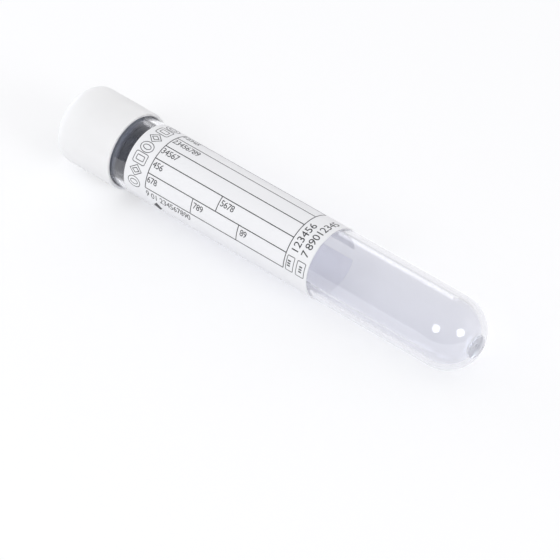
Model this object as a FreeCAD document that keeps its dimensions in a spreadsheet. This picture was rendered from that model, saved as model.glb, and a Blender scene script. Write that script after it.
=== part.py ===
import FreeCAD, Part
import math
import os
import re

import Sketcher

# A 9 ml evacuated blood collection tube, lying on its side.
#
# Frame: +X runs along the tube from the cap to the round end, +Z is up. The origin is under the
# middle of the length, on the plane that the cap rests on. Millimetres and degrees.
#
# Each piece is a turned body. Its outline is drawn with x along the axis, from the piece's own end
# nearest the cap's top, and y as the radius.

SIZES = {
    # the moulded tube: a standard 16 x 100 tube with a round end
    "tube_length": 100.0,
    "tube_diameter": 16.0,
    "tube_wall": 1.0,
    "rim_rounding": 0.3,
    "seal_zone": 14.0,
    "bore_draft": 0.2,
    "gate_diameter": 5.0,
    "gate_depth": 0.2,
    "gate_nub_diameter": 0.9,
    "gate_nub_height": 0.15,
    # the paper label, wrapped most of the way round
    "label_start": 9.7,
    "label_length": 51.6,
    "label_thickness": 0.1,
    "label_wrap": 338.0,
    "label_turn": 77.0,
    "glue_gap": 0.02,
    # the white cap
    "cap_length": 16.25,
    "cap_overlap": 5.65,
    "cap_rounding": 2.8,
    "skirt_clearance": 0.15,
    "skirt_wall": 0.8,
    "well_wall": 1.65,
    "lip_width": 3.15,
    "lip_thickness": 1.3,
    "shelf_width": 1.95,
    "shelf_thickness": 1.4,
    "edge_rounding": 0.25,
    # the ring that is snapped into the cap's top
    "ring_play": 0.1,
    "ring_edge": 0.2,
    "needle_hole_diameter": 6.8,
    "funnel_step": 0.3,
    "funnel_throat": 0.8,
    # the rubber stopper
    "flange_thickness": 4.6,
    "flange_clearance": 0.1,
    "boss_clearance": 0.1,
    "plug_depth": 11.0,
    "plug_clearance": 0.03,
    "rib_relief": 0.35,
    "rib_width": 2.2,
    "rib_first": 1.2,
    "rib_pitch": 3.5,
    "rib_rounding": 0.15,
    "nose_relief": 0.8,
    "plug_lead": 0.8,
    "recess_step": 0.3,
    "recess_depth": 3.5,
    "cup_wall": 2.62,
    "cup_depth": 9.5,
    "cup_rounding": 1.0,
    # how far round the axis the whole turned pieces have their seam: at the side, not underneath
    "seam_turn": 90.0,
}
RIB_COUNT = 2

TUBE_RADIUS = "tube_diameter / 2"
BORE_RADIUS = "(tube_diameter / 2 - tube_wall)"
SKIRT_RADIUS = "(tube_diameter / 2 + skirt_clearance)"
CAP_RADIUS = "(tube_diameter / 2 + skirt_clearance + skirt_wall)"
WELL_RADIUS = f"({CAP_RADIUS} - well_wall)"
LIP_RADIUS = f"({CAP_RADIUS} - lip_width)"
SHELF_HOLE_RADIUS = f"({SKIRT_RADIUS} - shelf_width)"
NEEDLE_HOLE_RADIUS = "(needle_hole_diameter / 2)"
CAP_RISE = "(cap_length - cap_overlap)"
SHELF_BOTTOM = "(cap_length - cap_overlap - flange_thickness)"
SHELF_TOP = "(cap_length - cap_overlap - flange_thickness - shelf_thickness)"
AXIS = "0"

doc = FreeCAD.newDocument("blood_collection_tube")
sheet = doc.addObject("Spreadsheet::Sheet", "sizes")


def fill_sheet():
    """One row per size: its name, and its value under the same alias."""
    for row, (name, value) in enumerate(SIZES.items(), start=1):
        sheet.set(f"A{row}", name)
        sheet.set(f"B{row}", str(value))
        sheet.setAlias(f"B{row}", name)
    doc.recompute()


def in_sheet(found):
    """A word of an expression, as the sheet's cell if it names a size."""
    word = found.group()
    return f"sizes.{word}" if word in SIZES else word


def from_sheet(text):
    """An expression in the sheet's cells, from one in the names of the sizes."""
    return re.sub(r"[a-z_]+", in_sheet, text)


def number(text):
    """What an expression in the names of the sizes comes to now."""
    return float(sheet.evalExpression(from_sheet(text)))


def rounded_corner(before, corner, after):
    """The two ends and the centre of a round edge between two sides that run along x or y."""
    here = [number(corner[0]), number(corner[1])]
    ways = []
    for neighbour in (before, after):
        run = [number(neighbour[0]) - here[0], number(neighbour[1]) - here[1]]
        ways.append([round(part / math.hypot(*run)) for part in run])
    ends = []
    for way in ways:
        ends.append(tuple(f"{corner[i]} + {way[i]} * {corner[2]}" for i in range(2)))
    centre_x = f"{corner[0]} + {ways[0][0] + ways[1][0]} * {corner[2]}"
    centre_y = f"{corner[1]} + {ways[0][1] + ways[1][1]} * {corner[2]}"
    return ends, (centre_x, centre_y)


def sides_of(corners):
    """The outline's sides: (start, end, centre), with no centre on a straight one.

    A corner is (x, y), or (x, y, radius) to round it. A corner (x, y, None, centre_x) ends an arc
    that starts at the corner before it, about a centre on the axis.
    """
    points = []
    for index, corner in enumerate(corners):
        before = corners[index - 1]
        after = corners[(index + 1) % len(corners)]
        if len(corner) == 3:
            ends, centre = rounded_corner(before, corner, after)
            points.append((ends[0], None))
            points.append((ends[1], centre))
        elif len(corner) == 4:
            points.append((corner[:2], (corner[3], AXIS)))
        else:
            points.append((corner, None))
    sides = []
    for index, (point, centre) in enumerate(points):
        sides.append((points[index - 1][0], point, centre))
    return sides


def add_side(sketch, start, end, centre):
    """Add one side and return its number and which of its ends comes first, 1 or 2."""
    first = FreeCAD.Vector(number(start[0]), number(start[1]), 0)
    last = FreeCAD.Vector(number(end[0]), number(end[1]), 0)
    if centre is None:
        return sketch.addGeometry(Part.LineSegment(first, last), False), 1
    middle = FreeCAD.Vector(number(centre[0]), number(centre[1]), 0)
    angles = [math.atan2(spot.y - middle.y, spot.x - middle.x) for spot in (first, last)]
    forward = (angles[1] - angles[0]) % (2 * math.pi) < math.pi
    if not forward:
        angles.reverse()
    circle = Part.Circle(middle, FreeCAD.Vector(0, 0, 1), (first - middle).Length)
    side = sketch.addGeometry(Part.ArcOfCircle(circle, angles[0], angles[1]), False)
    return side, 1 if forward else 2


def fix_point(sketch, side, spot, place, directions):
    """Hold a point of the sketch at its place, measured from the origin."""
    for direction in directions:
        text = place[0] if direction == "DistanceX" else place[1]
        if text == AXIS:
            axis = -2 if direction == "DistanceX" else -1
            sketch.addConstraint(Sketcher.Constraint("PointOnObject", side, spot, axis))
            continue
        bound = Sketcher.Constraint(direction, -1, 1, side, spot, number(text))
        index = sketch.addConstraint(bound)
        sketch.setExpression(f"Constraints[{index}]", from_sheet(text))


def draw_outline(body, corners):
    """A closed, fully constrained sketch on the body's XZ plane."""
    sketch = body.newObject("Sketcher::SketchObject", f"{body.Name}_outline")
    planes = {item.Role: item for item in body.Origin.OriginFeatures}
    sketch.AttachmentSupport = [(planes["XZ_Plane"], "")]
    sketch.MapMode = "FlatFace"
    placed = [(add_side(sketch, *side), side) for side in sides_of(corners)]
    for index, ((side, first), (start, end, centre)) in enumerate(placed):
        next_side, next_first = placed[(index + 1) % len(placed)][0]
        meet = Sketcher.Constraint("Coincident", side, 3 - first, next_side, next_first)
        sketch.addConstraint(meet)
        fix_point(sketch, side, first, start, ("DistanceX", "DistanceY"))
        if centre is not None:
            direction = "DistanceY" if centre[1] == AXIS else "DistanceX"
            fix_point(sketch, side, 3, centre, (direction,))
    return sketch


def turned(name, corners, distance, wrap=None, turn="seam_turn"):
    """A body turned about the axis, its own end set down this distance from the cap's top."""
    body = doc.addObject("PartDesign::Body", name)
    body.Label = name
    sketch = draw_outline(body, corners)
    revolution = body.newObject("PartDesign::Revolution", f"{name}_turned")
    revolution.Profile = sketch
    revolution.ReferenceAxis = (sketch, ["H_Axis"])
    revolution.Angle = 360.0
    body.Tip = revolution
    if wrap is not None:
        revolution.Midplane = True
        revolution.setExpression("Angle", from_sheet(wrap))
    body.Placement.Rotation = FreeCAD.Rotation(FreeCAD.Vector(1, 0, 0), SIZES[turn])
    body.setExpression("Placement.Rotation.Angle", from_sheet(turn))
    middle = f"({CAP_RISE} + tube_length) / 2"
    body.setExpression("Placement.Base.x", from_sheet(f"{distance} - {middle}"))
    body.setExpression("Placement.Base.z", from_sheet(CAP_RADIUS))
    return body


def tube():
    """The clear tube: a rounded rim, a bore that is straight where it seals and then narrows a
    little, and a domed end with a flat round gate mark in its middle."""
    gate_radius = "gate_diameter / 2"
    dome = f"(tube_length - sqrt(({TUBE_RADIUS})^2 - ({gate_radius})^2))"
    bore_end = f"({BORE_RADIUS} - bore_draft)"
    corners = [
        ("0", BORE_RADIUS, "rim_rounding"),
        ("0", TUBE_RADIUS, "rim_rounding"),
        (dome, TUBE_RADIUS),
        ("tube_length", gate_radius, None, dome),
        ("tube_length - gate_depth", gate_radius),
        ("tube_length - gate_depth", "gate_nub_diameter / 2"),
        ("tube_length - gate_depth + gate_nub_height", "gate_nub_diameter / 2"),
        ("tube_length - gate_depth + gate_nub_height", AXIS),
        (f"{dome} + {bore_end}", AXIS),
        (dome, bore_end, None, dome),
        ("seal_zone", BORE_RADIUS),
    ]
    return turned("tube", corners, CAP_RISE)


def label():
    """The paper label, with a bare strip of tube between its two long edges."""
    inside = f"{TUBE_RADIUS} + glue_gap"
    corners = [
        ("0", inside),
        ("0", f"{inside} + label_thickness"),
        ("label_length", f"{inside} + label_thickness"),
        ("label_length", inside),
    ]
    distance = f"{CAP_RISE} + label_start"
    return turned("label", corners, distance, wrap="label_wrap", turn="label_turn")


def cap():
    """The cap: a skirt over the rim, a shelf that the stopper hangs from, and a lipped well."""
    corners = [
        ("0", LIP_RADIUS),
        ("0", CAP_RADIUS, "cap_rounding"),
        ("cap_length", CAP_RADIUS, "edge_rounding"),
        ("cap_length", SKIRT_RADIUS, "edge_rounding"),
        (SHELF_BOTTOM, SKIRT_RADIUS),
        (SHELF_BOTTOM, SHELF_HOLE_RADIUS),
        (SHELF_TOP, SHELF_HOLE_RADIUS),
        (SHELF_TOP, WELL_RADIUS),
        ("lip_thickness", WELL_RADIUS),
        ("lip_thickness", LIP_RADIUS),
    ]
    return turned("cap", corners, AXIS)


def cap_ring():
    """The ring in the cap's well, between the lip and the shelf, with a funnel for the needle."""
    height = f"({SHELF_TOP} - lip_thickness - ring_play)"
    radius = f"{WELL_RADIUS} - ring_play"
    corners = [
        ("0", f"{LIP_RADIUS} - funnel_step"),
        ("0", radius, "ring_edge"),
        (height, radius, "ring_edge"),
        (height, NEEDLE_HOLE_RADIUS),
        (f"{height} - funnel_throat", NEEDLE_HOLE_RADIUS),
    ]
    return turned("cap_ring", corners, "lip_thickness + ring_play")


def stopper():
    """The rubber stopper: a boss through the cap's shelf, a flange on the tube's rim, and a plug
    with sealing ribs in the bore and a narrower nose. A recess above and a cup below leave a
    disc to pierce."""
    rim = "(shelf_thickness + flange_thickness)"
    core = f"({BORE_RADIUS} - plug_clearance - rib_relief)"
    flange_radius = f"({SKIRT_RADIUS} - flange_clearance)"
    boss_radius = f"({SHELF_HOLE_RADIUS} - boss_clearance)"
    recess_radius = f"({NEEDLE_HOLE_RADIUS} - recess_step)"
    nose = f"({core} - nose_relief)"
    nose_start = f"({rim} + rib_first + {RIB_COUNT - 1} * rib_pitch + rib_width)"
    cup_radius = f"({core} - cup_wall)"
    corners = [
        ("0", recess_radius),
        ("0", boss_radius, "rib_rounding"),
        ("shelf_thickness", boss_radius),
        ("shelf_thickness", flange_radius, "rib_rounding"),
        (rim, flange_radius, "rib_rounding"),
        (rim, core),
    ]
    for rib in range(RIB_COUNT):
        rib_start = f"({rim} + rib_first + {rib} * rib_pitch)"
        corners += [
            (rib_start, core),
            (rib_start, f"{core} + rib_relief", "rib_rounding"),
            (f"{rib_start} + rib_width", f"{core} + rib_relief", "rib_rounding"),
            (f"{rib_start} + rib_width", core),
        ]
    corners += [
        (f"{nose_start} + nose_relief", nose),
        (f"{rim} + plug_depth - plug_lead", nose),
        (f"{rim} + plug_depth", f"{nose} - plug_lead"),
        (f"{rim} + plug_depth", cup_radius),
        (f"{rim} + plug_depth - cup_depth", cup_radius, "cup_rounding"),
        (f"{rim} + plug_depth - cup_depth", AXIS),
        ("recess_depth", AXIS),
        ("recess_depth", recess_radius),
    ]
    return turned("stopper", corners, SHELF_TOP)


def check(pieces):
    """Stop before anything is written if an object failed or a piece is not one valid solid."""
    for item in doc.Objects:
        failed = {"Invalid", "Error"} & set(item.State)
        if failed:
            raise RuntimeError(f"{item.Label}: {failed}")
    for piece in pieces:
        if piece.Shape.isNull() or not piece.Shape.isValid() or len(piece.Shape.Solids) != 1:
            raise RuntimeError(f"{piece.Label}: not one valid solid")


fill_sheet()
pieces = [tube(), label(), cap(), cap_ring(), stopper()]
doc.recompute()
check(pieces)
os.makedirs("parts", exist_ok=True)
for piece in pieces:
    piece.Shape.exportStep(f"parts/{piece.Label}.step")
    box = piece.Shape.BoundBox
    print(f"{piece.Label}: {piece.Shape.Volume:.1f} mm3, x {box.XMin:.2f} to {box.XMax:.2f}")
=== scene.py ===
"""Finish, print and studio for the blood collection tube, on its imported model."""

import math

import bmesh
import bpy
from mathutils import Matrix, Vector


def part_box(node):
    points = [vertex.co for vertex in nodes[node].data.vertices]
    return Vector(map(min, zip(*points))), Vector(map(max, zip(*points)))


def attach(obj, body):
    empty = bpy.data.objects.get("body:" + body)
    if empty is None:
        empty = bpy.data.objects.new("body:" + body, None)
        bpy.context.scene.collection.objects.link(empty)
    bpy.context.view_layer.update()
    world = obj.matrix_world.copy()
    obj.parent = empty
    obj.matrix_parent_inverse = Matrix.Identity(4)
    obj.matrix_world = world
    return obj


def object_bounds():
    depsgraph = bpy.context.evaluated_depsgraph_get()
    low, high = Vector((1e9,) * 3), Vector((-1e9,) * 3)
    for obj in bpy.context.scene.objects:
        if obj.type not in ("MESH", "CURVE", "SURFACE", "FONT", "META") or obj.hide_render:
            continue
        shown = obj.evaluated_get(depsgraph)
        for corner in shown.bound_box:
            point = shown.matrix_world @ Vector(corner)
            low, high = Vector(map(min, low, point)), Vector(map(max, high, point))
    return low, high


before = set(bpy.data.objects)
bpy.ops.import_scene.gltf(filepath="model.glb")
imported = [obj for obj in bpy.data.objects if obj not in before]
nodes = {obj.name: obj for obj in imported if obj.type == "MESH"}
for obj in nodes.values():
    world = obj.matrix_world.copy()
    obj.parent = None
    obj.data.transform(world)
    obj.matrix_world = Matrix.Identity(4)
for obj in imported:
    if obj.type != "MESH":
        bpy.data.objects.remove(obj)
cad_low, cad_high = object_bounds()

MM = 0.001

# ---------------------------------------------------------------- sizes

label_low, label_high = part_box("label")
tube_low, tube_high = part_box("tube")

AXIS_HEIGHT = (label_low.z + label_high.z) / 2
RIM = tube_low.x
DOME_CENTRE = Vector((tube_high.x - 7.6 * MM, 0, AXIS_HEIGHT))

GATE_CENTRE = (tube_high.x, 0, AXIS_HEIGHT)
GATE_RADIUS = 2.6 * MM
GATE_SOFTNESS = 0.3 * MM

LABEL_RADIUS = (label_high.z - label_low.z) / 2
LABEL_START = label_low.x
LABEL_THICKNESS = 0.1 * MM

# The plug's rubber outside this radius touches the bore. From the rim up to the first place that
# rubber is painted paler, as painted light that lifts the shade under the cap's skirt, and the
# paint fades out by the second.
PLUG_CORE_RADIUS = 6.4 * MM
PALE_PAINT_FADE_START = -39.6 * MM
PALE_PAINT_FADE_END = -37.95 * MM

# The form has this many rows. Its first line's angle is taken round the axis.
ROW_COUNT = 5
ROW_PITCH = 3.5 * MM
FIRST_LINE_ANGLE = math.radians(127.66)
FORM_START = 6.22 * MM
FORM_END = 45.28 * MM
LINE_WIDTH = 0.2 * MM
OUTLINE_WIDTH = 0.15 * MM

# The ink stands proud of the paper by its top, and is sunk in it by its root.
INK_TOP = 0.014 * MM
INK_ROOT = 0.006 * MM
WRAP_STEP = 0.6 * MM


# ---------------------------------------------------------------- shader tools


def add_node(tree, kind, **values):
    """A new node with its input sockets set by name."""
    node = tree.nodes.new(kind)
    for name, value in values.items():
        node.inputs[name.replace("_", " ")].default_value = value
    return node


def feed(tree, socket, value):
    """Sets a socket to a plain value, or links another node's output to it."""
    if isinstance(value, bpy.types.NodeSocket):
        tree.links.new(value, socket)
    else:
        socket.default_value = value


def add_math(tree, operation, first, second):
    """What a Math node puts out for two numbers or outputs."""
    node = tree.nodes.new("ShaderNodeMath")
    node.operation = operation
    feed(tree, node.inputs[0], first)
    feed(tree, node.inputs[1], second)
    return node.outputs["Value"]


def add_mix(tree, kind, factor, first, second):
    """What a Mix node of a kind, RGBA or FLOAT, puts out."""
    node = tree.nodes.new("ShaderNodeMix")
    node.data_type = kind
    feed(tree, node.inputs["Factor"], factor)
    feed(tree, node.inputs["A"], first)
    feed(tree, node.inputs["B"], second)
    return node.outputs["Result"]


def add_shader_mix(tree, factor, first, second):
    """A mix of two shaders, which is all second where the factor is 1."""
    node = tree.nodes.new("ShaderNodeMixShader")
    feed(tree, node.inputs["Fac"], factor)
    feed(tree, node.inputs[1], first)
    feed(tree, node.inputs[2], second)
    return node.outputs["Shader"]


def add_ramp(tree, value, start, end, low=0.0, high=1.0):
    """A straight blend from low at the start value to high at the end value."""
    node = tree.nodes.new("ShaderNodeMapRange")
    feed(tree, node.inputs["Value"], value)
    feed(tree, node.inputs["From Min"], start)
    feed(tree, node.inputs["From Max"], end)
    feed(tree, node.inputs["To Min"], low)
    feed(tree, node.inputs["To Max"], high)
    return node.outputs["Result"]


def new_group(name, inputs, outputs):
    """A shader node group, with its input and output nodes."""
    group = bpy.data.node_groups.new(name, "ShaderNodeTree")
    for socket_name, kind, value in inputs:
        socket = group.interface.new_socket(socket_name, in_out="INPUT", socket_type=kind)
        socket.default_value = value
    for socket_name, kind in outputs:
        group.interface.new_socket(socket_name, in_out="OUTPUT", socket_type=kind)
    return group, group.nodes.new("NodeGroupInput"), group.nodes.new("NodeGroupOutput")


def place_group(tree, group, **values):
    """A shared effect placed in a material with its own values."""
    node = tree.nodes.new("ShaderNodeGroup")
    node.node_tree = group
    for name, value in values.items():
        node.inputs[name.replace("_", " ")].default_value = value
    return node


def grain_group():
    """Fine grain, as a normal."""
    group, given, made = new_group(
        "surface_grain",
        [
            ("Scale", "NodeSocketFloat", 1000.0),
            ("Along", "NodeSocketFloat", 1.0),
            ("Strength", "NodeSocketFloat", 0.1),
            ("Height", "NodeSocketFloat", 0.00002),
        ],
        [("Normal", "NodeSocketVector")],
    )
    place = group.nodes.new("ShaderNodeTexCoord")
    stretch = group.nodes.new("ShaderNodeCombineXYZ")
    stretch.inputs["Y"].default_value = 1.0
    stretch.inputs["Z"].default_value = 1.0
    scaled = group.nodes.new("ShaderNodeVectorMath")
    scaled.operation = "MULTIPLY"
    noise = add_node(group, "ShaderNodeTexNoise", Detail=4.0, Roughness=0.6)
    bump = group.nodes.new("ShaderNodeBump")
    link = group.links.new
    link(given.outputs["Along"], stretch.inputs["X"])
    link(place.outputs["Object"], scaled.inputs[0])
    link(stretch.outputs["Vector"], scaled.inputs[1])
    link(scaled.outputs["Vector"], noise.inputs["Vector"])
    link(given.outputs["Scale"], noise.inputs["Scale"])
    link(given.outputs["Strength"], bump.inputs["Strength"])
    link(given.outputs["Height"], bump.inputs["Distance"])
    link(noise.outputs["Fac"], bump.inputs["Height"])
    link(bump.outputs["Normal"], made.inputs["Normal"])
    return group


def cloud_group():
    """A soft cloudy mix of two colours and of two roughnesses."""
    group, given, made = new_group(
        "cloudy_mix",
        [
            ("Scale", "NodeSocketFloat", 200.0),
            ("Light", "NodeSocketColor", (0.8, 0.8, 0.8, 1)),
            ("Dark", "NodeSocketColor", (0.7, 0.7, 0.7, 1)),
            ("Smooth", "NodeSocketFloat", 0.3),
            ("Rough", "NodeSocketFloat", 0.5),
        ],
        [("Color", "NodeSocketColor"), ("Roughness", "NodeSocketFloat")],
    )
    place = group.nodes.new("ShaderNodeTexCoord")
    noise = add_node(group, "ShaderNodeTexNoise", Detail=5.0, Roughness=0.55)
    spread = add_ramp(group, noise.outputs["Fac"], 0.35, 0.65)
    colour = add_mix(group, "RGBA", spread, given.outputs["Light"], given.outputs["Dark"])
    rough = add_mix(group, "FLOAT", spread, given.outputs["Smooth"], given.outputs["Rough"])
    link = group.links.new
    link(place.outputs["Object"], noise.inputs["Vector"])
    link(given.outputs["Scale"], noise.inputs["Scale"])
    link(colour, made.inputs["Color"])
    link(rough, made.inputs["Roughness"])
    return group


def near_group():
    """1 near a point and 0 away from it, with a soft edge."""
    group, given, made = new_group(
        "near_point",
        [
            ("Centre", "NodeSocketVector", (0, 0, 0)),
            ("Reach", "NodeSocketFloat", 0.003),
            ("Softness", "NodeSocketFloat", 0.0005),
        ],
        [("Mask", "NodeSocketFloat")],
    )
    place = group.nodes.new("ShaderNodeTexCoord")
    apart = group.nodes.new("ShaderNodeVectorMath")
    apart.operation = "DISTANCE"
    inside = add_math(group, "SUBTRACT", given.outputs["Reach"], apart.outputs["Value"])
    mask = add_ramp(group, inside, 0.0, given.outputs["Softness"])
    link = group.links.new
    link(place.outputs["Object"], apart.inputs[0])
    link(given.outputs["Centre"], apart.inputs[1])
    link(mask, made.inputs["Mask"])
    return group


def outside_group():
    """1 farther from the tube's axis than a radius, and 0 nearer."""
    group, given, made = new_group(
        "outside_radius",
        [("Radius", "NodeSocketFloat", 0.008)],
        [("Mask", "NodeSocketFloat")],
    )
    place = group.nodes.new("ShaderNodeTexCoord")
    across = group.nodes.new("ShaderNodeVectorMath")
    across.operation = "MULTIPLY"
    across.inputs[1].default_value = (0, 1, 1)
    apart = group.nodes.new("ShaderNodeVectorMath")
    apart.operation = "DISTANCE"
    apart.inputs[1].default_value = (0, 0, AXIS_HEIGHT)
    beyond = add_math(
        group, "GREATER_THAN", apart.outputs["Value"], given.outputs["Radius"]
    )
    link = group.links.new
    link(place.outputs["Object"], across.inputs[0])
    link(across.outputs["Vector"], apart.inputs[0])
    link(beyond, made.inputs["Mask"])
    return group


def along_group():
    """0 before one place along the tube, 1 after another, and a blend between them."""
    group, given, made = new_group(
        "along_tube",
        [("Start", "NodeSocketFloat", 0.0), ("End", "NodeSocketFloat", 0.001)],
        [("Mask", "NodeSocketFloat")],
    )
    place = group.nodes.new("ShaderNodeTexCoord")
    parts = group.nodes.new("ShaderNodeSeparateXYZ")
    mask = add_ramp(group, parts.outputs["X"], given.outputs["Start"], given.outputs["End"])
    link = group.links.new
    link(place.outputs["Object"], parts.inputs["Vector"])
    link(mask, made.inputs["Mask"])
    return group


GRAIN = grain_group()
CLOUD = cloud_group()
NEAR = near_group()
OUTSIDE = outside_group()
ALONG = along_group()


def new_material(name):
    """A material with an empty tree, its Principled shader and its output."""
    material = bpy.data.materials.new(name)
    material.use_nodes = True
    tree = material.node_tree
    tree.nodes.clear()
    shader = tree.nodes.new("ShaderNodeBsdfPrincipled")
    out = tree.nodes.new("ShaderNodeOutputMaterial")
    tree.links.new(shader.outputs["BSDF"], out.inputs["Surface"])
    return material, tree, shader, out


def opaque_finish(name, light, dark, smooth, rough, cloud, grain, strength, height):
    """An opaque finish: cloudy colour and gloss, with a fine grain.

    Cloud and grain are how fine each pattern is, and strength and height say
    how far the grain stands out.
    """
    material, tree, shader, out = new_material(name)
    clouds = place_group(
        tree, CLOUD, Scale=cloud, Light=light, Dark=dark, Smooth=smooth, Rough=rough
    )
    grains = place_group(tree, GRAIN, Scale=grain, Strength=strength, Height=height)
    tree.links.new(clouds.outputs["Color"], shader.inputs["Base Color"])
    tree.links.new(clouds.outputs["Roughness"], shader.inputs["Roughness"])
    tree.links.new(grains.outputs["Normal"], shader.inputs["Normal"])
    return material


def principled(material):
    """A material's Principled shader."""
    nodes_in = material.node_tree.nodes
    return next(node for node in nodes_in if node.type == "BSDF_PRINCIPLED")


def recolour(material, mask, colour):
    """Gives a finish another colour where a mask is 1."""
    tree = material.node_tree
    base = principled(material).inputs["Base Color"]
    tree.links.new(add_mix(tree, "RGBA", mask, base.links[0].from_socket, colour), base)


def clear_finish(name):
    """Clear polished polyester with a duller gate mark. It passes a share of the lamps' light."""
    material, tree, shader, out = new_material(name)
    clouds = place_group(
        tree,
        CLOUD,
        Scale=90.0,
        Light=(0.893, 0.896, 0.928, 1),
        Dark=(0.881, 0.884, 0.917, 1),
        Smooth=0.03,
        Rough=0.07,
    )
    grains = place_group(tree, GRAIN, Scale=120.0, Along=0.25, Strength=0.06, Height=0.1 * MM)
    gate = place_group(
        tree, NEAR, Centre=GATE_CENTRE, Reach=GATE_RADIUS, Softness=GATE_SOFTNESS
    )
    gate_colour = (0.53, 0.545, 0.585, 1)
    gate_roughness = 0.4
    gate_passes = 0.45
    most_bounces = 2.5
    tint = add_mix(tree, "RGBA", gate.outputs["Mask"], clouds.outputs["Color"], gate_colour)
    gloss = add_mix(
        tree, "FLOAT", gate.outputs["Mask"], clouds.outputs["Roughness"], gate_roughness
    )
    passing = add_node(tree, "ShaderNodeBsdfTransparent", Color=(0.945, 0.947, 0.965, 1))
    path = tree.nodes.new("ShaderNodeLightPath")
    long_way = add_math(tree, "GREATER_THAN", path.outputs["Glossy Depth"], most_bounces)
    through = add_math(tree, "MAXIMUM", path.outputs["Is Shadow Ray"], long_way)
    at_gate = add_math(tree, "MULTIPLY", gate.outputs["Mask"], gate_passes)
    share = add_math(tree, "MAXIMUM", at_gate, through)
    both = add_shader_mix(tree, share, shader.outputs["BSDF"], passing.outputs["BSDF"])
    shader.inputs["IOR"].default_value = 1.67
    shader.inputs["Transmission Weight"].default_value = 1.0
    link = tree.links.new
    link(tint, shader.inputs["Base Color"])
    link(gloss, shader.inputs["Roughness"])
    link(grains.outputs["Normal"], shader.inputs["Normal"])
    link(both, out.inputs["Surface"])
    return material


def lets_light_through(material, share):
    """Thin paper: lamps light its inner side too, and a share goes on to the floor. Its inner
    side is also painted paler, as painted light for the light that comes through the paper.
    """
    tree = material.node_tree
    shader = principled(material)
    out = next(node for node in tree.nodes if node.type == "OUTPUT_MATERIAL")
    side = tree.nodes.new("ShaderNodeNewGeometry")
    path = tree.nodes.new("ShaderNodeLightPath")
    outer = place_group(tree, OUTSIDE, Radius=LABEL_RADIUS - LABEL_THICKNESS / 2)
    inwards = add_math(tree, "SUBTRACT", 1, side.outputs["Backfacing"])
    kept = add_math(tree, "MULTIPLY", outer.outputs["Mask"], 1 - share)
    stopped = add_math(tree, "MULTIPLY", kept, inwards)
    passed = add_math(tree, "SUBTRACT", 1, stopped)
    bounced = add_math(tree, "GREATER_THAN", path.outputs["Diffuse Depth"], 0.5)
    lit = add_math(tree, "MAXIMUM", path.outputs["Is Shadow Ray"], bounced)
    part = add_math(tree, "MULTIPLY", lit, passed)
    passing = add_node(tree, "ShaderNodeBsdfTransparent", Color=(0.97, 0.975, 1.0, 1))
    both = add_shader_mix(tree, part, shader.outputs["BSDF"], passing.outputs["BSDF"])
    # Painted light: the inner side is painted paler than the outer side, standing in for light
    # that comes through the paper.
    inner = add_math(tree, "SUBTRACT", 1, outer.outputs["Mask"])
    inner_painted_light = (0.985, 0.975, 0.95, 1)
    recolour(material, inner, inner_painted_light)
    tree.links.new(both, out.inputs["Surface"])


def paint_pale_near_cap(material, radius, start, end, colour):
    """Painted light: rubber that touches the bore is painted paler from the rim to a soft end, to
    lift the shade under the cap's skirt.
    """
    tree = material.node_tree
    outer = place_group(tree, OUTSIDE, Radius=radius)
    in_bore = place_group(tree, ALONG, Start=RIM - 0.1 * MM, End=RIM)
    free = place_group(tree, ALONG, Start=start, End=end)
    pale_span = add_math(tree, "SUBTRACT", in_bore.outputs["Mask"], free.outputs["Mask"])
    painted_pale = add_math(tree, "MULTIPLY", pale_span, outer.outputs["Mask"])
    recolour(material, painted_pale, colour)


def lets_light_in(material, share, depth):
    """Milky plastic, which light goes a little way into."""
    shader = principled(material)
    shader.inputs["Subsurface Weight"].default_value = share
    shader.inputs["Subsurface Radius"].default_value = (1.0, 1.0, 1.0)
    shader.inputs["Subsurface Scale"].default_value = depth


def paint(node, material):
    """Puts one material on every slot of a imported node."""
    piece = nodes[node]
    if not piece.material_slots:
        piece.data.materials.append(material)
    for slot in piece.material_slots:
        slot.material = material


# ---------------------------------------------------------------- finishes


tube_plastic = clear_finish("tube_polyester")
label_paper = opaque_finish(
    "label_paper",
    light=(0.885, 0.892, 0.91, 1),
    dark=(0.868, 0.876, 0.895, 1),
    smooth=0.42,
    rough=0.5,
    cloud=160.0,
    grain=9000.0,
    strength=0.12,
    height=0.01 * MM,
)
lets_light_through(label_paper, share=0.5)
cap_plastic = opaque_finish(
    "cap_polyethylene",
    light=(0.9, 0.905, 0.91, 1),
    dark=(0.885, 0.891, 0.896, 1),
    smooth=0.36,
    rough=0.46,
    cloud=120.0,
    grain=2500.0,
    strength=0.08,
    height=0.02 * MM,
)
lets_light_in(cap_plastic, share=0.5, depth=1.2 * MM)
ring_plastic = opaque_finish(
    "ring_polyethylene",
    light=(0.03, 0.03, 0.032, 1),
    dark=(0.022, 0.022, 0.024, 1),
    smooth=0.32,
    rough=0.45,
    cloud=300.0,
    grain=3000.0,
    strength=0.1,
    height=0.02 * MM,
)
stopper_rubber = opaque_finish(
    "stopper_rubber",
    light=(0.022, 0.027, 0.043, 1),
    dark=(0.016, 0.02, 0.034, 1),
    smooth=0.5,
    rough=0.64,
    cloud=300.0,
    grain=2500.0,
    strength=0.05,
    height=0.03 * MM,
)
# Painted light: the rubber next to the cap is painted paler, to lift the shade under the cap's
# skirt.
paint_pale_near_cap(
    stopper_rubber,
    radius=PLUG_CORE_RADIUS,
    start=PALE_PAINT_FADE_START,
    end=PALE_PAINT_FADE_END,
    colour=(0.36, 0.4, 0.48, 1),
)
print_ink = opaque_finish(
    "print_ink",
    light=(0.03, 0.031, 0.036, 1),
    dark=(0.055, 0.056, 0.062, 1),
    smooth=0.45,
    rough=0.6,
    cloud=2500.0,
    grain=12000.0,
    strength=0.1,
    height=0.005 * MM,
)

paint("tube", tube_plastic)
paint("label", label_paper)
paint("cap", cap_plastic)
paint("cap_ring", ring_plastic)
paint("stopper", stopper_rubber)


# ---------------------------------------------------------------- print
# It is drawn flat first: x along the tube from the label's edge, y round it
# from the form's top line, and z out of the paper. Then it is wrapped.


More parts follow.
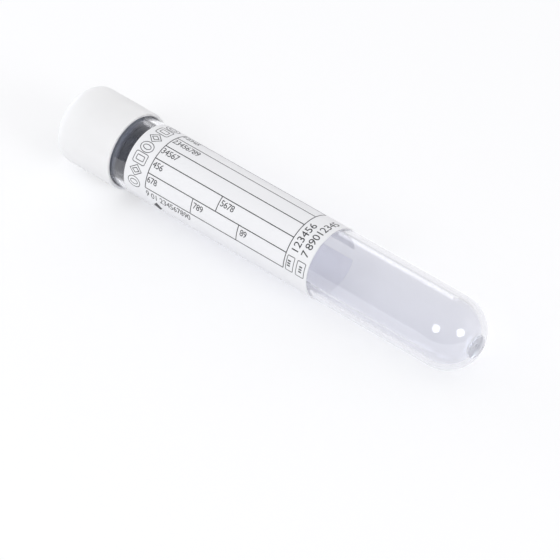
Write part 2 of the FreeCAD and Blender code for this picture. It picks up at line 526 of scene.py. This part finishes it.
def add_bar(ink, low, high):
    """A solid bar between two flat corners."""
    centre = Vector(((low[0] + high[0]) / 2, (low[1] + high[1]) / 2, 0))
    size = (high[0] - low[0], high[1] - low[1], INK_TOP + INK_ROOT, 1)
    place = Matrix.Translation(centre) @ Matrix.Diagonal(size)
    bmesh.ops.create_cube(ink, size=1, matrix=place)


def add_line_along(ink, start, end, y):
    """A ruled line along the tube."""
    add_bar(ink, (start, y - LINE_WIDTH / 2), (end, y + LINE_WIDTH / 2))


def add_line_round(ink, x, low, high):
    """A ruled line round the tube."""
    add_bar(ink, (x - LINE_WIDTH / 2, low), (x + LINE_WIDTH / 2, high))


def add_outline(ink, centre, size, corners, turn=0.0, rounding=0.0, width=OUTLINE_WIDTH):
    """A thin line round a plain shape with so many corners."""
    shape = bmesh.new()
    spun = Matrix.Rotation(turn, 4, "Z")
    bmesh.ops.create_circle(shape, cap_ends=True, radius=1, segments=corners, matrix=spun)
    reach = max(vert.co.x for vert in shape.verts)
    scale = (size[0] / 2 / reach, size[1] / 2 / reach, 1)
    bmesh.ops.scale(shape, vec=scale, verts=shape.verts)
    if rounding:
        bmesh.ops.bevel(
            shape,
            geom=shape.verts[:],
            offset=rounding,
            affect="VERTICES",
            segments=5,
            profile=0.5,
            material=-1,
        )
    middle = shape.faces[:]
    bmesh.ops.inset_region(
        shape,
        faces=middle,
        thickness=width,
        use_boundary=True,
        use_even_offset=True,
    )
    bmesh.ops.delete(shape, geom=middle, context="FACES")
    add_raised(ink, shape, Matrix.Translation((centre[0], centre[1], 0)))


def add_shape(ink, centre, size, stroke, corners, turn=0.0, rounding=0.0):
    """A plain shape of one broad stroke, drawn by the stroke's two edges."""
    inner = (size[0] - 2 * stroke, size[1] - 2 * stroke)
    add_outline(ink, centre, size, corners, turn, rounding)
    add_outline(ink, centre, inner, corners, turn, rounding / 2)


def add_raised(ink, shape, place):
    """Gives a flat shape the ink's thickness and adds it."""
    bmesh.ops.recalc_face_normals(shape, faces=shape.faces)
    downward = [face for face in shape.faces if face.normal.z < 0]
    bmesh.ops.reverse_faces(shape, faces=downward)
    flat = shape.faces[:]
    raised = bmesh.ops.extrude_face_region(shape, geom=flat, use_keep_orig=True)
    lifted = [item for item in raised["geom"] if isinstance(item, bmesh.types.BMVert)]
    bmesh.ops.translate(shape, vec=(0, 0, INK_TOP + INK_ROOT), verts=lifted)
    bmesh.ops.translate(shape, vec=(0, 0, -(INK_TOP + INK_ROOT) / 2), verts=shape.verts)
    bmesh.ops.recalc_face_normals(shape, faces=shape.faces)
    bmesh.ops.transform(shape, matrix=place, verts=shape.verts)
    join(ink, shape)


def join(ink, shape):
    """Adds a finished small shape to the ink."""
    mesh = bpy.data.meshes.new("shape")
    shape.to_mesh(mesh)
    shape.free()
    ink.from_mesh(mesh)
    bpy.data.meshes.remove(mesh)


def add_digits(ink, digits, height, place, turn=0.0, spacing=0.92):
    """A row of plain digits, its lower left corner at a flat point."""
    curve = bpy.data.curves.new("digits", "FONT")
    curve.body = digits
    curve.space_character = spacing
    curve.resolution_u = 3
    curve.extrude = 0.5
    text = bpy.data.objects.new("digits", curve)
    bpy.context.scene.collection.objects.link(text)
    bpy.context.view_layer.update()
    seen = text.evaluated_get(bpy.context.evaluated_depsgraph_get())
    mesh = bpy.data.meshes.new_from_object(seen)
    shape = bmesh.new()
    shape.from_mesh(mesh)
    bmesh.ops.remove_doubles(shape, verts=shape.verts, dist=0.0001)
    tall = max(vert.co.y for vert in shape.verts) - min(vert.co.y for vert in shape.verts)
    left = min(vert.co.x for vert in shape.verts)
    low = min(vert.co.y for vert in shape.verts)
    bmesh.ops.translate(shape, vec=(-left, -low, 0), verts=shape.verts)
    size = (height / tall, height / tall, INK_TOP + INK_ROOT, 1)
    matrix = (
        Matrix.Translation((place[0], place[1], 0))
        @ Matrix.Rotation(turn, 4, "Z")
        @ Matrix.Diagonal(size)
    )
    bmesh.ops.transform(shape, matrix=matrix, verts=shape.verts)
    join(ink, shape)
    bpy.data.objects.remove(text)
    bpy.data.curves.remove(curve)
    bpy.data.meshes.remove(mesh)


def wrap(ink):
    """Cuts the flat print into narrow strips and lays it round the label."""
    bmesh.ops.translate(ink, vec=(0, 0, (INK_TOP - INK_ROOT) / 2), verts=ink.verts)
    low = min(vert.co.y for vert in ink.verts)
    high = max(vert.co.y for vert in ink.verts)
    for step in range(1, math.ceil((high - low) / WRAP_STEP)):
        bmesh.ops.bisect_plane(
            ink,
            geom=ink.verts[:] + ink.edges[:] + ink.faces[:],
            dist=1e-7,
            plane_co=(0, low + step * WRAP_STEP, 0),
            plane_no=(0, 1, 0),
        )
    for vert in ink.verts:
        angle = FIRST_LINE_ANGLE + vert.co.y / LABEL_RADIUS
        radius = LABEL_RADIUS + vert.co.z
        vert.co = (
            LABEL_START + vert.co.x,
            -radius * math.cos(angle),
            AXIS_HEIGHT + radius * math.sin(angle),
        )


def print_form(ink):
    """The ruled form, with plain digits at the start of each cell."""
    dividers = ((25.45, 3), (19.15, 4), (32.1, 4))
    for line in range(ROW_COUNT + 1):
        add_line_along(ink, FORM_START, FORM_END, -line * ROW_PITCH)
    for end in (FORM_START, FORM_END):
        add_line_round(ink, end, -ROW_COUNT * ROW_PITCH, 0)
    for divider, row in dividers:
        add_line_round(ink, divider * MM, -(row + 1) * ROW_PITCH, -row * ROW_PITCH)
    cells = (
        ("12345", 6.5, 0),
        ("23456789", 6.5, 1),
        ("34567", 6.5, 2),
        ("456", 6.5, 3),
        ("5678", 25.9, 3),
        ("678", 6.5, 4),
        ("789", 19.65, 4),
        ("89", 32.85, 4),
    )
    height = 1.4 * MM
    drop = 1.98 * MM
    for digits, start, row in cells:
        add_digits(ink, digits, height, (start * MM, -row * ROW_PITCH - drop))


def print_shapes(ink):
    """A row of plain outlined shapes round the label, next to the cap."""
    kinds = (
        (40, 0.0, 0.0),
        (4, 0.0, 0.0),
        (4, math.pi / 4, 0.5 * MM),
    )
    size = (3.5 * MM, 2.6 * MM)
    stroke = 0.68 * MM
    first = -17.6
    pitch = 2.75
    for place in range(7):
        corners, turn, rounding = kinds[place % len(kinds)]
        centre = (2.95 * MM, (first + pitch * place) * MM)
        add_shape(ink, centre, size, stroke, corners, turn, rounding)


def print_numbers(ink):
    """Two rows of plain digits that read round the label, with a small box each."""
    quarter = math.pi / 2
    height = 1.8 * MM
    add_digits(ink, "123456", height, (47.9 * MM, -12.8 * MM), quarter, spacing=1.0)
    add_digits(ink, "7", height, (50.5 * MM, -12.9 * MM), quarter)
    add_digits(ink, "89012345", height, (50.5 * MM, -11.2 * MM), quarter, spacing=0.95)
    boxes = ((46.86, 2.05, 46.6), (49.7, 2.3, 49.7))
    half_tall = 0.38
    half_wide = 0.15
    for x, width, mark in boxes:
        centre = (x * MM, -15.83 * MM)
        add_outline(ink, centre, (width * MM, 3.46 * MM), 4, quarter / 2, 0.3 * MM)
        for step in (-0.55, 0.0, 0.55):
            low = centre[1] + (step - half_wide) * MM
            high = centre[1] + (step + half_wide) * MM
            add_bar(ink, ((mark - half_tall) * MM, low), ((mark + half_tall) * MM, high))


def print_foot(ink):
    """The small row below the form, and the plain mark under it."""
    add_digits(ink, "9 01 234567890", 1.45 * MM, (6.4 * MM, -19.5 * MM), spacing=0.95)
    mark = bmesh.new()
    bmesh.ops.create_circle(mark, cap_ends=True, radius=1, segments=4)
    bmesh.ops.scale(mark, vec=(1.2 * MM, 1.4 * MM, 1), verts=mark.verts)
    add_raised(ink, mark, Matrix.Translation((9.2 * MM, -21.6 * MM, 0)))


ink = bmesh.new()
print_form(ink)
print_shapes(ink)
print_numbers(ink)
print_foot(ink)
wrap(ink)

print_mesh = bpy.data.meshes.new("label_print")
ink.to_mesh(print_mesh)
ink.free()
label_print = bpy.data.objects.new("label_print", print_mesh)
bpy.context.scene.collection.objects.link(label_print)
label_print.data.materials.append(print_ink)
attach(label_print, "barrel")


# ---------------------------------------------------------------- studio

# Each lamp's direction is taken from the middle of the round end.
LAMP_DISTANCE = 1.0
ROUND_LAMP = (0.42, 0.42)
SIDE_WINDOW = (1.0, 0.5)
BACK_WINDOW = (0.3, 0.17)
COOL = (0.84, 0.9, 1.0)
PALE = (0.97, 0.97, 1.0)

CAMERA_AZIMUTH = math.radians(42.43)
CAMERA_ELEVATION = math.radians(39.67)
CAMERA_AIM = Vector((4.81 * MM, -3.03 * MM, cad_low.z))
CAMERA_DISTANCE = 0.8287
CAMERA_LENS = 257.14

FLOOR_RADIUS = 2.5


def background_rays(tree):
    """1 for rays that show the background: straight, mirrored or through the tube."""
    path = tree.nodes.new("ShaderNodeLightPath")
    plain = add_math(
        tree, "MAXIMUM", path.outputs["Is Camera Ray"], path.outputs["Is Glossy Ray"]
    )
    return add_math(tree, "MAXIMUM", plain, path.outputs["Is Transmission Ray"])


def floor_finish():
    """A pale floor that shows white with a soft shadow, and lights the tube from below."""
    material, tree, shader, out = new_material("floor_white")
    clouds = place_group(
        tree,
        CLOUD,
        Scale=3.0,
        Light=(0.90, 0.905, 0.915, 1),
        Dark=(0.89, 0.895, 0.91, 1),
        Smooth=0.9,
        Rough=0.95,
    )
    shader.inputs["Specular IOR Level"].default_value = 0.1
    shown = add_node(tree, "ShaderNodeBsdfDiffuse", Color=(0.60, 0.605, 0.615, 1))
    glow = add_node(tree, "ShaderNodeEmission", Color=(1.0, 1.0, 1.0, 1), Strength=0.41)
    both = tree.nodes.new("ShaderNodeAddShader")
    link = tree.links.new
    link(clouds.outputs["Color"], shader.inputs["Base Color"])
    link(clouds.outputs["Roughness"], shader.inputs["Roughness"])
    link(shown.outputs["BSDF"], both.inputs[0])
    link(glow.outputs["Emission"], both.inputs[1])
    either = add_shader_mix(
        tree, background_rays(tree), shader.outputs["BSDF"], both.outputs["Shader"]
    )
    link(either, out.inputs["Surface"])
    return material


def add_floor():
    """A round floor under the tube."""
    disc = bmesh.new()
    bmesh.ops.create_circle(disc, cap_ends=True, radius=FLOOR_RADIUS, segments=96)
    bmesh.ops.translate(disc, vec=(0, 0, cad_low.z), verts=disc.verts)
    mesh = bpy.data.meshes.new("floor")
    disc.to_mesh(mesh)
    disc.free()
    floor = bpy.data.objects.new("floor", mesh)
    bpy.context.scene.collection.objects.link(floor)
    floor.data.materials.append(floor_finish())


def set_world():
    """A white surround, a fill, and the room that mirrored rays see.

    The room is dark in front, pale behind, and dimmer again towards its ceiling.
    """
    world = bpy.data.worlds.new("studio")
    bpy.context.scene.world = world
    world.use_nodes = True
    tree = world.node_tree
    tree.nodes.clear()
    place = tree.nodes.new("ShaderNodeTexCoord")
    parts = tree.nodes.new("ShaderNodeSeparateXYZ")
    behind = add_ramp(tree, parts.outputs["Y"], -0.1, 0.5)
    high = add_ramp(tree, parts.outputs["Z"], 0.45, 0.8, 1.0, 0.3)
    bright = add_math(tree, "MULTIPLY", behind, high)
    dark_side = (0.06, 0.065, 0.075, 1)
    pale_side = (1.0, 0.99, 1.0, 1)
    room_tone = add_mix(tree, "RGBA", bright, dark_side, pale_side)
    fill = add_node(tree, "ShaderNodeBackground", Color=(1.0, 0.985, 0.985, 1), Strength=0.7)
    white = add_node(tree, "ShaderNodeBackground", Strength=1.0)
    room = add_node(tree, "ShaderNodeBackground", Strength=1.0)
    path = tree.nodes.new("ShaderNodeLightPath")
    mirrored = add_shader_mix(
        tree,
        path.outputs["Is Reflection Ray"],
        white.outputs["Background"],
        room.outputs["Background"],
    )
    either = add_shader_mix(tree, background_rays(tree), fill.outputs["Background"], mirrored)
    out = tree.nodes.new("ShaderNodeOutputWorld")
    link = tree.links.new
    link(place.outputs["Generated"], parts.inputs["Vector"])
    link(room_tone, room.inputs["Color"])
    link(either, out.inputs["Surface"])


def add_lamp(name, direction, size, power, colour=(1, 1, 1), shape="DISK"):
    """A soft lamp that looks at the tube's round end."""
    lamp = bpy.data.lights.new(name, "AREA")
    lamp.shape = shape
    lamp.size = size[0]
    lamp.size_y = size[1]
    lamp.energy = power
    lamp.color = colour
    stand = bpy.data.objects.new(name, lamp)
    towards = Vector(direction).normalized()
    stand.location = DOME_CENTRE + towards * LAMP_DISTANCE
    stand.rotation_euler = towards.to_track_quat("Z", "Y").to_euler()
    stand.visible_camera = False
    bpy.context.scene.collection.objects.link(stand)


def add_camera():
    """The camera, aimed at a point on the floor just in front of the tube."""
    back = Vector(
        (
            math.sin(CAMERA_AZIMUTH) * math.cos(CAMERA_ELEVATION),
            -math.cos(CAMERA_AZIMUTH) * math.cos(CAMERA_ELEVATION),
            math.sin(CAMERA_ELEVATION),
        )
    )
    camera = bpy.data.cameras.new("camera")
    camera.lens = CAMERA_LENS
    camera.sensor_width = 36
    camera.clip_start = 0.05
    camera.clip_end = 20
    stand = bpy.data.objects.new("camera", camera)
    stand.location = CAMERA_AIM + back * CAMERA_DISTANCE
    stand.rotation_euler = back.to_track_quat("Z", "Y").to_euler()
    bpy.context.scene.collection.objects.link(stand)
    bpy.context.scene.camera = stand


add_floor()
set_world()
add_lamp("left_lamp", (-0.103, -0.804, 0.585), ROUND_LAMP, 1.9)
add_lamp("right_lamp", (0.887, -0.114, 0.447), ROUND_LAMP, 1.9)
add_lamp("side_window", (-0.95, -0.1, 0.28), SIDE_WINDOW, 3.0, COOL, "RECTANGLE")
add_lamp("back_window", (-0.52, 0.76, 0.38), BACK_WINDOW, 0.25, PALE, "RECTANGLE")
add_camera()
bpy.context.scene.view_settings.view_transform = "Standard"
